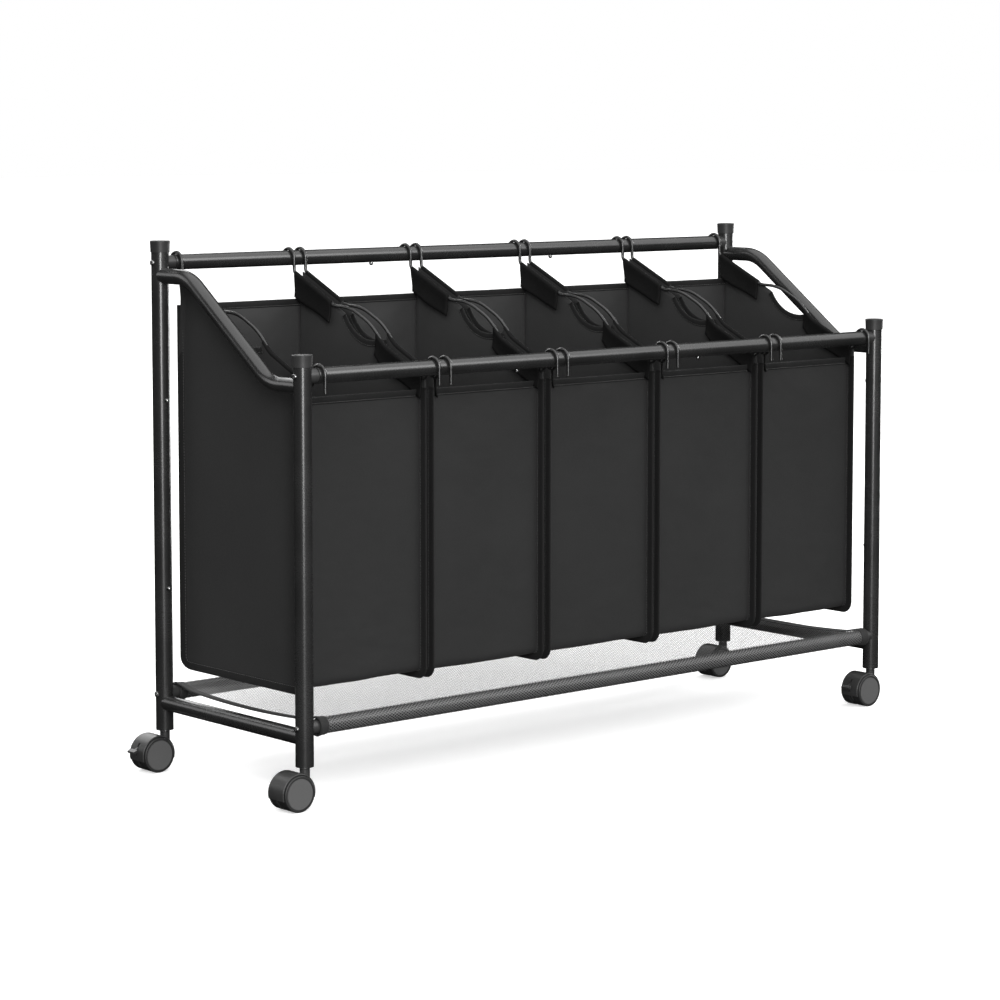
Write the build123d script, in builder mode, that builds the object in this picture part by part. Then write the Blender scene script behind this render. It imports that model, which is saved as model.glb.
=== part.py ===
from build123d import *
import os
from math import atan2, cos, sin, tan

# A rolling laundry sorter: a tube frame on four twin-wheel casters carries five fabric bags
# by steel wires hooked over two long rails, above a mesh shelf slung between two low rails.
# Each piece is drawn about the middle of the four posts. The casters trail to the left, so the
# model is then moved right until its origin is under the middle of the whole box, on the floor.
# X runs along the rails, -Y is the low front, +Y the high back, and Z is up. All in millimetres.

os.makedirs("parts", exist_ok=True)

SIDES = {"left": -1, "right": 1}
ENDS = {"front": -1, "back": 1}

# ---- driving dimensions: the frame ----
POST_SPAN_X = 1125.0  # between post axes, along the rails
POST_SPAN_Y = 330.0  # between post axes, front to back
POST_D = 25.0
RAIL_D = 22.0
WALL = 1.2
FIT = 0.1  # radial play of one tube inside another
TOUCH = 0.02  # gap that keeps pressed-together parts from sharing a face
POST_BOTTOM_Z = 57.0
CAP_TOP_Z = {"front": 612.0, "back": 754.0}
SEAM_LOW_Z = {"front": 281.0, "back": 290.0}
SEAM_HIGH_Z = {"front": 485.0, "back": 500.0}
RAIL_Z = {"front": 583.0, "back": 723.0}
LOWER_RAIL_Z = 109.0
LOWER_SIDE_RAIL_Z = 96.0
SIDE_RAIL_FRONT_Z = 568.5
SIDE_RAIL_BACK_Z = 704.5
SIDE_BEND_Y = {"front": -95.0, "back": 94.5}  # where the side rail's straight runs would meet
SIDE_BEND_R = 70.0
MALE_LENGTH = 45.0  # swaged end that slides into the next tube
RAIL_SEAMS_X = (-152.0, 206.0)
PLUG_SHOWS = 9.0  # bare plug between a post and a long rail
PLUG_INSIDE = 20.0

# ---- driving dimensions: caps, bolts and snap buttons ----
CAP_H = 16.5
CAP_LOWER_D = 27.0
CAP_UPPER_D = 28.5
CAP_ROOF = 3.0
CAP_CHAMFER = 0.8
BOLT_D = 5.0
BOLT_HEAD_D = 8.0
BOLT_HEAD_H = 2.6
BOLT_LENGTH = 50.0
BOLT_HOLE_D = 5.4
BOLT_SOCKET_D = 3.4
BUTTON_D = 6.0
BUTTON_HOLE_D = 6.4
BUTTON_PROUD = 4.6
BUTTON_FROM_SEAM = 29.0
BUTTON_FROM_RAIL_SEAM = 32.0
SPRING_REACH = 34.0
SPRING_TAIL = 4.0  # spring on the other side of its button
SPRING_CLEAR = 1.2  # between the spring and the male end
SPRING_T = 0.7
SPRING_W = 6.0

# ---- driving dimensions: casters ----
WHEEL_D = 50.0
WHEEL_INNER_Y = 3.4
WHEEL_OUTER_Y = 19.4
WHEEL_EDGE_R = 1.6
GROOVE_OUTER_R = 21.8  # groove round the flat cover disc
GROOVE_INNER_R = 20.6
GROOVE_DEPTH = 0.9
AXLE_END_GAP = 0.3
SPIN_FIT = 0.05
TRAIL = 22.0  # the axle sits this far behind its stem
HOOD_R = 27.6
HOOD_T = 1.8
HOOD_EDGE_R = 1.2
HOOD_BOSS = 4.0  # wall round the axle
HOOD_HALF_W = 17.0
WEB_HALF_W = 3.0
NECK_D = 14.0
NECK_TOP_Z = 55.2
SKIRT_DROP = 7.0  # the hood ends this far below the axle
AXLE_D = 6.0
AXLE_HALF_L = 17.0
STEM_D = 8.0
STEM_BOTTOM_Z = 43.5
STEM_TOP_Z = 90.0
COLLAR_D = 15.0
COLLAR_BOTTOM_Z = 55.5
SOCKET_DEPTH = 40.0
PEDAL_T = 3.0
PEDAL_SLOT = 3.6
PEDAL_SLOT_Z = (-1.0, 18.0)  # from the axle
PEDAL_SLOT_TO_X = -8.0
PEDAL_PIVOT = (-16.0, 10.0)  # from the axle, in X and Z
PEDAL_PAD_W = 16.0
PEDAL_REACH = 37.0  # the pad's tip, behind the axle
PEDAL_ARM = ((-12.5, 12.5), (-19.0, 13.5), (-35.0, 8.2), (-35.0, 5.4), (-20.0, 6.0), (-12.5, 7.0))
PEDAL_PAD = ((-31.0, 10.2), (-PEDAL_REACH, 7.6), (-PEDAL_REACH, 4.8), (-31.0, 6.2))
PIVOT_D = 2.6
BRAKED = (("back", "left"), ("front", "right"))

# ---- driving dimensions: bags, their wires and the mesh shelf ----
BAG_COUNT = 5
BAG_PITCH = 218.0
BAG_HALF_X = 102.7  # outer face of a side panel
CLOTH = 1.5
WIRE_D = 4.8
HOOK_GAP = 0.3  # between a wire and the rail that it hooks over
HOOK_LEG = {"front": 23.5, "back": 7.0}  # free leg below the rail's axis
WIRE_FRONT_Z = 562.0  # corner where the wire turns up to the front rail
WIRE_BACK_Z = 702.0
WIRE_BACK_BEND_R = 10.0
WIRE_FRONT_BEND_R = 8.0
ARCH_HALF = 62.0  # the carrying arch, measured along the wire
ARCH_CROWN_HALF = 28.0
ARCH_RISE = 15.0
ARCH_FOOT_R = 40.0
ARCH_CROWN_R = 95.0
BAG_EDGE_Y = {"front": -145.0, "back": 153.4}  # the side panels' bound edges, proud as flanges
BAG_PANEL_Y = {"front": -132.0, "back": 141.0}  # inner faces of the front and the back
BAG_EDGE_BOTTOM_Z = 144.5
BAG_FLOOR_Z = 153.5
BAG_FRONT_TOP_Z = 550.0
BAG_BACK_TOP_Z = 664.0
BAG_CORNER_R = 18.0
CUT_CENTRE = (-24.8, 679.9)  # half-moon hand hole in each side panel, in Y and Z
CUT_R = 67.5
FOLD_FRONT_Y = (-139.0, -65.0)  # the hem folded over the wire, in front of the hand hole
FOLD_BACK_Y = (65.0, 145.0)
FOLD_LEG = 6.0
FLAP_DEPTH = 28.0
FLAP_Y = (-130.0, 139.0)  # the flap stays between the front and the back
SHELF_HALF_X = 543.0
SHELF_T = 1.2
SHELF_EDGE_Z = 116.0
SHELF_SAG = 7.0
SHELF_LAP = 1.0  # the sheet runs this far into its sleeves

# ---- worked out from the above ----
POST_X = POST_SPAN_X / 2
POST_Y = POST_SPAN_Y / 2
POST_R = POST_D / 2
RAIL_R = RAIL_D / 2
RAIL_END_X = POST_X - POST_R - PLUG_SHOWS
WHEEL_R = WHEEL_D / 2
WIRE_R = WIRE_D / 2
WIRE_X = BAG_HALF_X - CLOTH - FIT - WIRE_R
HOOK_R = RAIL_R + HOOK_GAP + WIRE_R
HOOK_Y = POST_Y - HOOK_R
WIRE_ANGLE = atan2(WIRE_BACK_Z - WIRE_FRONT_Z, 2 * HOOK_Y)
WIRE_MID_Z = (WIRE_BACK_Z + WIRE_FRONT_Z) / 2
MOVE_X = (TRAIL + PEDAL_REACH - POST_R - BOLT_HEAD_H) / 2


def at(base, origin):
    """A plane parallel to base through origin."""
    return Plane(origin=origin, x_dir=base.x_dir, z_dir=base.z_dir)


def save(part, name):
    """Moves a finished piece to the model's origin, labels it and writes its STEP file."""
    placed = Compound(children=[solid.moved(Location((MOVE_X, 0, 0))) for solid in part.solids()])
    placed.label = name
    export_step(placed, f"parts/{name}.step")


def along_wire(s, h=0.0):
    """The (y, z) of a point s towards the back from mid-bag along the sloping wire, and h above."""
    y = s * cos(WIRE_ANGLE) - h * sin(WIRE_ANGLE)
    z = WIRE_MID_Z + s * sin(WIRE_ANGLE) + h * cos(WIRE_ANGLE)
    return (y, z)


def wire_z(y):
    """Height of the sloping wire's line at y."""
    return WIRE_MID_Z + y * tan(WIRE_ANGLE)


# ---- posts: each is three tubes, and the middle one has a swaged male end at both ends ----
def post_wall(end, piece):
    """The (radius, z) outline of one post tube's wall, from its lowest point round."""
    low = SEAM_LOW_Z[end]
    high = SEAM_HIGH_Z[end]
    inner = POST_R - WALL
    male = inner - FIT
    if piece == "lower":
        return [(inner, POST_BOTTOM_Z), (POST_R, POST_BOTTOM_Z), (POST_R, low), (inner, low)]
    if piece == "upper":
        top = CAP_TOP_Z[end] - CAP_ROOF
        return [(inner, high), (POST_R, high), (POST_R, top), (inner, top)]
    bottom = low - MALE_LENGTH
    top = high + MALE_LENGTH
    return [
        (male - WALL, bottom), (male, bottom), (male, low), (POST_R, low),
        (POST_R, high), (male, high), (male, top), (male - WALL, top),
    ]


def button_heights(end):
    """Heights of a post's two snap buttons."""
    return (SEAM_LOW_Z[end] - BUTTON_FROM_SEAM, SEAM_HIGH_Z[end] + BUTTON_FROM_SEAM)


for end, end_sign in ENDS.items():
    for side, side_sign in SIDES.items():
        x = side_sign * POST_X
        y = end_sign * POST_Y
        for piece in ("lower", "middle", "upper"):
            with BuildPart() as post:
                with BuildSketch(at(Plane.XZ, (x, y, 0))):
                    Polygon(*post_wall(end, piece), align=(Align.NONE, Align.NONE))
                revolve(axis=Axis((x, y, 0), (0, 0, 1)))
                # snap-button holes on the inward side
                for z in button_heights(end):
                    hole_plane = Plane(origin=(x, y, z), x_dir=(1, 0, 0), z_dir=(0, -end_sign, 0))
                    with BuildSketch(hole_plane):
                        Circle(BUTTON_HOLE_D / 2)
                    extrude(amount=POST_R + 1, mode=Mode.SUBTRACT)
                # bolt holes right through, at the lower rail and at the upper rail
                for z in (LOWER_RAIL_Z, RAIL_Z[end]):
                    with BuildSketch(at(Plane.YZ, (x, y, z))):
                        Circle(BOLT_HOLE_D / 2)
                    extrude(amount=POST_R + 1, both=True, mode=Mode.SUBTRACT)
            save(post.part, f"post_{end}_{side}_{piece}")

with BuildPart() as post_caps:
    for end, end_sign in ENDS.items():
        for side_sign in SIDES.values():
            x = side_sign * POST_X
            y = end_sign * POST_Y
            top = CAP_TOP_Z[end]
            with BuildSketch(at(Plane.XZ, (x, y, 0))):
                with BuildLine():
                    Polyline(
                        (0, top), (CAP_UPPER_D / 2 - CAP_CHAMFER, top), (CAP_UPPER_D / 2, top - CAP_CHAMFER),
                        (CAP_LOWER_D / 2, top - CAP_H), (POST_R + TOUCH, top - CAP_H),
                        (POST_R + TOUCH, top - CAP_ROOF), (0, top - CAP_ROOF), close=True,
                    )
                make_face()
            revolve(axis=Axis((x, y, 0), (0, 0, 1)))
save(post_caps.part, "post_caps")


# ---- side rails, welded to the posts with coped ends ----
def cope_to_posts(x):
    """Cuts the posts' own outlines out of a side rail that runs into them."""
    for end_sign in ENDS.values():
        with BuildSketch(at(Plane.XY, (x, end_sign * POST_Y, 0))) as outline:
            Circle(POST_R)
        extrude(outline.sketch, amount=CAP_TOP_Z["back"], mode=Mode.SUBTRACT)


for side, side_sign in SIDES.items():
    x = side_sign * POST_X
    with BuildPart() as side_rail_upper:
        with BuildLine(Plane.YZ.offset(x)) as side_path:
            FilletPolyline(
                (-POST_Y, SIDE_RAIL_FRONT_Z),
                (SIDE_BEND_Y["front"], SIDE_RAIL_FRONT_Z),
                (SIDE_BEND_Y["back"], SIDE_RAIL_BACK_Z),
                (POST_Y, SIDE_RAIL_BACK_Z),
                radius=SIDE_BEND_R,
            )
        start = Plane(origin=(x, -POST_Y, SIDE_RAIL_FRONT_Z), x_dir=(1, 0, 0), z_dir=(0, 1, 0))
        with BuildSketch(start):
            Circle(RAIL_R)
            Circle(RAIL_R - WALL, mode=Mode.SUBTRACT)
        sweep(path=side_path.wire())
        cope_to_posts(x)
    save(side_rail_upper.part, f"side_rail_upper_{side}")

    with BuildPart() as side_rail_lower:
        with BuildSketch(at(Plane.XZ, (x, 0, LOWER_SIDE_RAIL_Z))):
            Circle(RAIL_R)
            Circle(RAIL_R - WALL, mode=Mode.SUBTRACT)
        extrude(amount=POST_Y, both=True)
        cope_to_posts(x)
    save(side_rail_lower.part, f"side_rail_lower_{side}")


# ---- long rails: three tubes each, and the middle and right ones have a male left end ----
def tube_along_x(x_start, x_end, y, z, outer_r):
    """Adds a straight tube parallel to X."""
    with BuildSketch(at(Plane.YZ, (x_start, y, z))) as ring:
        Circle(outer_r)
        Circle(outer_r - WALL, mode=Mode.SUBTRACT)
    extrude(ring.sketch, amount=x_end - x_start)


rail_pieces = {
    "left": (-RAIL_END_X, RAIL_SEAMS_X[0]),
    "middle": RAIL_SEAMS_X,
    "right": (RAIL_SEAMS_X[1], RAIL_END_X),
}
for end, end_sign in ENDS.items():
    y = end_sign * POST_Y
    z = RAIL_Z[end]
    for piece, (x_start, x_end) in rail_pieces.items():
        with BuildPart() as long_rail:
            tube_along_x(x_start, x_end, y, z, RAIL_R)
            if piece != "left":
                male_r = RAIL_R - WALL - FIT
                tube_along_x(x_start - MALE_LENGTH, x_start, y, z, male_r)
                # the swage: a thin ring that joins the male end to the full tube
                with BuildSketch(at(Plane.YZ, (x_start, y, z))):
                    Circle(RAIL_R - WALL / 2)
                    Circle(male_r - WALL, mode=Mode.SUBTRACT)
                extrude(amount=WALL)
            for seam_x in RAIL_SEAMS_X:
                button_x = seam_x - BUTTON_FROM_RAIL_SEAM
                with BuildSketch(Plane(origin=(button_x, y, z), x_dir=(1, 0, 0), z_dir=(0, 0, -1))):
                    Circle(BUTTON_HOLE_D / 2)
                extrude(amount=RAIL_R + 1, mode=Mode.SUBTRACT)
        save(long_rail.part, f"{end}_rail_{piece}")

    with BuildPart() as lower_rail:
        tube_along_x(-RAIL_END_X, RAIL_END_X, y, LOWER_RAIL_Z, RAIL_R)
    save(lower_rail.part, f"lower_rail_{end}")

# ---- plugs, bolts and snap buttons ----
rail_ends = []
for end, end_sign in ENDS.items():
    for side_sign in SIDES.values():
        for z in (LOWER_RAIL_Z, RAIL_Z[end]):
            rail_ends.append((side_sign, end_sign * POST_Y, z))

with BuildPart() as rail_end_plugs:
    # each plug starts inside its post's outline, which is then cut away to leave a saddle
    for side_sign, y, z in rail_ends:
        x_start = side_sign * (RAIL_END_X - PLUG_INSIDE)
        outward = Plane(origin=(x_start, y, z), x_dir=(0, 1, 0), z_dir=(side_sign, 0, 0))
        with BuildSketch(outward):
            Circle(RAIL_R - WALL - FIT)
            Circle(BOLT_D / 2, mode=Mode.SUBTRACT)
        extrude(amount=POST_X - abs(x_start))
    for side_sign in SIDES.values():
        for end_sign in ENDS.values():
            with BuildSketch(at(Plane.XY, (side_sign * POST_X, end_sign * POST_Y, 0))):
                Circle(POST_R)
            extrude(amount=CAP_TOP_Z["back"], mode=Mode.SUBTRACT)
save(rail_end_plugs.part, "rail_end_plugs")

with BuildPart() as frame_bolts:
    for side_sign, y, z in rail_ends:
        seat_x = side_sign * (POST_X + POST_R)
        inward = Plane(origin=(seat_x, y, z), x_dir=(0, 1, 0), z_dir=(-side_sign, 0, 0))
        outward = Plane(origin=(seat_x, y, z), x_dir=(0, 1, 0), z_dir=(side_sign, 0, 0))
        with BuildSketch(inward):
            Circle(BOLT_D / 2 - 0.02)
        extrude(amount=BOLT_LENGTH)
        with BuildSketch(outward):
            Circle(BOLT_HEAD_D / 2)
        extrude(amount=BOLT_HEAD_H)
        with BuildSketch(outward.offset(BOLT_HEAD_H)):
            RegularPolygon(BOLT_SOCKET_D / 2, 6)
        extrude(amount=-BOLT_HEAD_H * 0.6, mode=Mode.SUBTRACT)
    head_rims = frame_bolts.edges().filter_by(GeomType.CIRCLE)
    outermost = POST_X + POST_R + BOLT_HEAD_H
    fillet([rim for rim in head_rims if abs(abs(rim.center().X) - outermost) < 0.01], 1.0)
save(frame_bolts.part, "frame_bolts")


def snap_button(place, tube_r):
    """Adds one button and its V spring. place has +Z out of the tube, and +X from the male
    end towards the rest of its tube, where the spring lies."""
    leg_r = tube_r - WALL - FIT - WALL - SPRING_CLEAR
    profile = Plane(origin=place.origin, x_dir=place.x_dir, z_dir=-place.y_dir)
    with BuildSketch(profile) as spring:
        with BuildLine():
            Polyline(
                (-SPRING_TAIL, leg_r), (SPRING_REACH, 0), (-SPRING_TAIL, -leg_r),
                (-SPRING_TAIL, SPRING_T - leg_r), (SPRING_REACH - 4 * SPRING_T, 0),
                (-SPRING_TAIL, leg_r - SPRING_T),
                close=True,
            )
        make_face()
    extrude(spring.sketch, amount=SPRING_W / 2, both=True)
    foot = leg_r - 2 * SPRING_T
    dome = tube_r + BUTTON_PROUD - BUTTON_D / 2
    with BuildSketch(profile) as half_button:
        with BuildLine():
            Polyline((0, dome + BUTTON_D / 2), (0, foot), (BUTTON_D / 2, foot), (BUTTON_D / 2, dome))
            CenterArc((0, dome), BUTTON_D / 2, 0, 90)
        make_face()
    revolve(half_button.sketch, axis=Axis(place.origin, place.z_dir))


with BuildPart() as snap_buttons:
    for end, end_sign in ENDS.items():
        low_z, high_z = button_heights(end)
        for side_sign in SIDES.values():
            for z, towards_middle in ((low_z, 1), (high_z, -1)):
                origin = (side_sign * POST_X, end_sign * POST_Y, z)
                place = Plane(origin=origin, x_dir=(0, 0, towards_middle), z_dir=(0, -end_sign, 0))
                snap_button(place, POST_R)
        for seam_x in RAIL_SEAMS_X:
            origin = (seam_x - BUTTON_FROM_RAIL_SEAM, end_sign * POST_Y, RAIL_Z[end])
            snap_button(Plane(origin=origin, x_dir=(1, 0, 0), z_dir=(0, 0, -1)), RAIL_R)
save(snap_buttons.part, "snap_buttons")

# ---- mesh shelf: one sheet with a sleeve round each lower rail and a slight sag between ----
with BuildPart() as mesh_shelf:
    sleeve_r = RAIL_R + TOUCH
    edge_y = POST_Y - RAIL_R + SHELF_LAP
    with BuildSketch(Plane.YZ.offset(-SHELF_HALF_X)):
        with BuildLine():
            left = (-edge_y, SHELF_EDGE_Z)
            middle = (0, SHELF_EDGE_Z - SHELF_SAG)
            right = (edge_y, SHELF_EDGE_Z)
            ThreePointArc(left, middle, right)
            Line(right, (edge_y, SHELF_EDGE_Z - SHELF_T))
            ThreePointArc(
                (edge_y, SHELF_EDGE_Z - SHELF_T), (0, middle[1] - SHELF_T), (-edge_y, SHELF_EDGE_Z - SHELF_T)
            )
            Line((-edge_y, SHELF_EDGE_Z - SHELF_T), left)
        make_face()
        with Locations((-POST_Y, LOWER_RAIL_Z), (POST_Y, LOWER_RAIL_Z)):
            Circle(sleeve_r + SHELF_T)
            Circle(sleeve_r, mode=Mode.SUBTRACT)
    extrude(amount=2 * SHELF_HALF_X)
save(mesh_shelf.part, "mesh_shelf")

# ---- casters ----
post_places = [(s * POST_X, e * POST_Y) for e in ENDS.values() for s in SIDES.values()]

with BuildPart() as caster_sockets:
    for x, y in post_places:
        with BuildSketch(at(Plane.XY, (x, y, POST_BOTTOM_Z))):
            Circle(POST_R - WALL - TOUCH)
            Circle(STEM_D / 2 + SPIN_FIT, mode=Mode.SUBTRACT)
        extrude(amount=SOCKET_DEPTH)
save(caster_sockets.part, "caster_sockets")

with BuildPart() as caster_stems:
    for x, y in post_places:
        with BuildSketch(at(Plane.XY, (x, y, STEM_BOTTOM_Z))):
            Circle(STEM_D / 2)
        extrude(amount=STEM_TOP_Z - STEM_BOTTOM_Z)
        with BuildSketch(at(Plane.XY, (x, y, COLLAR_BOTTOM_Z))):
            Circle(COLLAR_D / 2)
        extrude(amount=POST_BOTTOM_Z - COLLAR_BOTTOM_Z)
save(caster_stems.part, "caster_stems")

for end, end_sign in ENDS.items():
    for side, side_sign in SIDES.items():
        stem_x = side_sign * POST_X
        axle_x = stem_x - TRAIL
        y = end_sign * POST_Y
        name = f"{end}_{side}"
        across = Plane(origin=(axle_x, y, WHEEL_R), x_dir=(1, 0, 0), z_dir=(0, -1, 0))

        with BuildPart() as hood:
            # one block round both wheels, and the neck that takes the stem
            with BuildSketch(across):
                Circle(HOOD_R)
            extrude(amount=HOOD_HALF_W, both=True)
            fillet(hood.edges().filter_by(GeomType.CIRCLE), HOOD_EDGE_R)
            with BuildSketch(at(Plane.XY, (stem_x, y, WHEEL_R))):
                Circle(NECK_D / 2)
            extrude(amount=NECK_TOP_Z - WHEEL_R)
            # the room for each wheel leaves a web between them
            for cheek in (-1, 1):
                with BuildSketch(across.offset(cheek * WEB_HALF_W)):
                    Circle(HOOD_R - HOOD_T)
                extrude(amount=cheek * HOOD_HALF_W, mode=Mode.SUBTRACT)
            # nothing hangs lower than the skirt except the boss round the axle
            with BuildSketch(across):
                with Locations((0, -SKIRT_DROP - HOOD_R)):
                    Rectangle(3 * HOOD_R, 2 * HOOD_R)
            extrude(amount=2 * HOOD_HALF_W, both=True, mode=Mode.SUBTRACT)
            with BuildSketch(across):
                Circle(AXLE_D / 2 + HOOD_BOSS)
            extrude(amount=WEB_HALF_W, both=True)
            with BuildSketch(across):
                Circle(AXLE_D / 2)
            extrude(amount=HOOD_HALF_W, both=True, mode=Mode.SUBTRACT)
            with BuildSketch(at(Plane.XY, (stem_x, y, STEM_BOTTOM_Z - AXLE_END_GAP))):
                Circle(STEM_D / 2 + SPIN_FIT)
            extrude(amount=NECK_TOP_Z, mode=Mode.SUBTRACT)
            if (end, side) in BRAKED:
                # slot for the pedal's arm, and holes for its two trunnions
                slot_low, slot_high = PEDAL_SLOT_Z
                with BuildSketch(across):
                    with Locations((-HOOD_R, (slot_low + slot_high) / 2)):
                        Rectangle(2 * (HOOD_R + PEDAL_SLOT_TO_X), slot_high - slot_low)
                extrude(amount=PEDAL_SLOT / 2, both=True, mode=Mode.SUBTRACT)
                with BuildSketch(across):
                    with Locations(PEDAL_PIVOT):
                        Circle(PIVOT_D / 2 + SPIN_FIT)
                extrude(amount=WEB_HALF_W, both=True, mode=Mode.SUBTRACT)
        save(hood.part, f"caster_hood_{name}")

        with BuildPart() as axle:
            with BuildSketch(across):
                Circle(AXLE_D / 2)
            extrude(amount=AXLE_HALF_L, both=True)
        save(axle.part, f"caster_axle_{name}")

        for face, face_sign in (("outer", -end_sign), ("inner", end_sign)):
            # face_sign is +1 on the front side of the axle's middle, seen along its plane
            with BuildPart() as wheel:
                with BuildSketch(across.offset(face_sign * WHEEL_INNER_Y)):
                    Circle(WHEEL_R)
                extrude(amount=face_sign * (WHEEL_OUTER_Y - WHEEL_INNER_Y))
                fillet(wheel.edges().filter_by(GeomType.CIRCLE), WHEEL_EDGE_R)
                with BuildSketch(across.offset(face_sign * WHEEL_OUTER_Y)):
                    Circle(GROOVE_OUTER_R)
                    Circle(GROOVE_INNER_R, mode=Mode.SUBTRACT)
                extrude(amount=-face_sign * GROOVE_DEPTH, mode=Mode.SUBTRACT)
                # blind bore for the axle
                with BuildSketch(across.offset(face_sign * WHEEL_INNER_Y)):
                    Circle(AXLE_D / 2 + SPIN_FIT)
                bore_depth = AXLE_HALF_L + AXLE_END_GAP - WHEEL_INNER_Y
                extrude(amount=face_sign * bore_depth, mode=Mode.SUBTRACT)
            save(wheel.part, f"wheel_{name}_{face}")

        if (end, side) in BRAKED:
            with BuildPart() as pedal:
                # arm between the cheeks, from the pivot out past the hood
                with BuildSketch(across):
                    with BuildLine():
                        Polyline(*PEDAL_ARM, close=True)
                    make_face()
                extrude(amount=PEDAL_T / 2, both=True)
                # the pad for a toe
                with BuildSketch(across):
                    with BuildLine():
                        Polyline(*PEDAL_PAD, close=True)
                    make_face()
                extrude(amount=PEDAL_PAD_W / 2, both=True)
                with BuildSketch(across):
                    with Locations(PEDAL_PIVOT):
                        Circle(PIVOT_D / 2)
                extrude(amount=WEB_HALF_W - FIT, both=True)
            save(pedal.part, f"brake_pedal_{name}")

# ---- bags: two side panels with bound edges, a front, a back and a floor ----
for number in range(1, BAG_COUNT + 1):
    bag_x = (number - (BAG_COUNT + 1) / 2) * BAG_PITCH

    inside_half_x = BAG_HALF_X - CLOTH
    panel_tops = {"front": BAG_FRONT_TOP_Z, "back": BAG_BACK_TOP_Z}
    with BuildPart() as front_floor_back:
        for end, end_sign in ENDS.items():
            with BuildSketch(at(Plane.XY, (bag_x, 0, BAG_FLOOR_Z + CLOTH))):
                with Locations((0, BAG_PANEL_Y[end] + end_sign * CLOTH / 2)):
                    Rectangle(2 * inside_half_x, CLOTH)
            extrude(amount=panel_tops[end] - BAG_FLOOR_Z - CLOTH)
        floor_y = (BAG_PANEL_Y["front"] + BAG_PANEL_Y["back"]) / 2
        with BuildSketch(at(Plane.XY, (bag_x, floor_y, BAG_FLOOR_Z))):
            Rectangle(2 * inside_half_x, BAG_PANEL_Y["back"] - BAG_PANEL_Y["front"] + 2 * CLOTH)
        extrude(amount=CLOTH)
    cloth = [*front_floor_back.part.solids()]

    for side_sign in SIDES.values():
        front_y, back_y = BAG_EDGE_Y["front"], BAG_EDGE_Y["back"]
        with BuildPart() as side_panel:
            outer_x = bag_x + side_sign * BAG_HALF_X
            with BuildSketch(Plane.YZ.offset(outer_x)):
                with BuildLine():
                    FilletPolyline(
                        (front_y, wire_z(front_y)), (front_y, BAG_EDGE_BOTTOM_Z),
                        (back_y, BAG_EDGE_BOTTOM_Z), (back_y, wire_z(back_y)),
                        radius=BAG_CORNER_R,
                    )
                    Line((back_y, wire_z(back_y)), (front_y, wire_z(front_y)))
                make_face()
                with Locations(CUT_CENTRE):
                    Circle(CUT_R, mode=Mode.SUBTRACT)
            extrude(amount=-side_sign * CLOTH)
            # the hem folded inwards over the wire, and its flap inside the bag
            for y_start, y_end in (FOLD_FRONT_Y, FOLD_BACK_Y):
                flap_start = max(y_start, FLAP_Y[0])
                flap_end = min(y_end, FLAP_Y[1])
                spans = ((y_start, y_end, FOLD_LEG, 0.0), (flap_start, flap_end, FLAP_DEPTH, FOLD_LEG))
                for y_from, y_to, depth, begins in spans:
                    along = Plane(
                        origin=(bag_x + side_sign * WIRE_X, y_from, wire_z(y_from)),
                        x_dir=(side_sign, 0, 0),
                        z_dir=(0, cos(WIRE_ANGLE), sin(WIRE_ANGLE)),
                    )
                    up = -side_sign  # local +Y points down on the right and up on the left
                    fold_r = BAG_HALF_X - WIRE_X
                    with BuildSketch(along):
                        if not begins:
                            Circle(fold_r)
                            with Locations((0, -up * fold_r)):
                                Rectangle(4 * fold_r, 2 * fold_r, mode=Mode.SUBTRACT)
                            with Locations((0, -up * depth / 2)):
                                Rectangle(2 * fold_r, depth)
                                Rectangle(2 * (fold_r - CLOTH), depth, mode=Mode.SUBTRACT)
                            Circle(fold_r - CLOTH, mode=Mode.SUBTRACT)
                        else:
                            with Locations((CLOTH / 2 - fold_r, -up * (begins + depth) / 2)):
                                Rectangle(CLOTH, depth - begins)
                    extrude(amount=(y_to - y_from) / cos(WIRE_ANGLE))
        cloth += side_panel.part.solids()
    save(ShapeList(cloth), f"bag_{number}")

    with BuildPart() as bag_wires:
        for side_sign in SIDES.values():
            x = bag_x + side_sign * WIRE_X
            with BuildLine(Plane.YZ.offset(x)) as wire_path:
                back_leg = (HOOK_Y + 2 * HOOK_R, RAIL_Z["back"])
                front_leg = (-HOOK_Y - 2 * HOOK_R, RAIL_Z["front"])
                Line((back_leg[0], back_leg[1] - HOOK_LEG["back"]), back_leg)
                ThreePointArc(back_leg, (POST_Y, RAIL_Z["back"] + HOOK_R), (HOOK_Y, RAIL_Z["back"]))
                FilletPolyline(
                    (HOOK_Y, RAIL_Z["back"]),
                    (HOOK_Y, WIRE_BACK_Z),
                    along_wire(ARCH_HALF),
                    along_wire(ARCH_CROWN_HALF, ARCH_RISE),
                    along_wire(-ARCH_CROWN_HALF, ARCH_RISE),
                    along_wire(-ARCH_HALF),
                    (-HOOK_Y, WIRE_FRONT_Z),
                    (-HOOK_Y, RAIL_Z["front"]),
                    radius=[
                        WIRE_BACK_BEND_R, ARCH_FOOT_R, ARCH_CROWN_R, ARCH_CROWN_R, ARCH_FOOT_R,
                        WIRE_FRONT_BEND_R,
                    ],
                )
                front_top = (-POST_Y, RAIL_Z["front"] + HOOK_R)
                ThreePointArc((-HOOK_Y, RAIL_Z["front"]), front_top, front_leg)
                Line(front_leg, (front_leg[0], front_leg[1] - HOOK_LEG["front"]))
            leg_end = at(Plane.XY, (x, back_leg[0], back_leg[1] - HOOK_LEG["back"]))
            with BuildSketch(leg_end):
                Circle(WIRE_R)
            sweep(path=wire_path.wire())
    save(bag_wires.part, f"bag_wires_{number}")
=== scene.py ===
import math
import random

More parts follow.
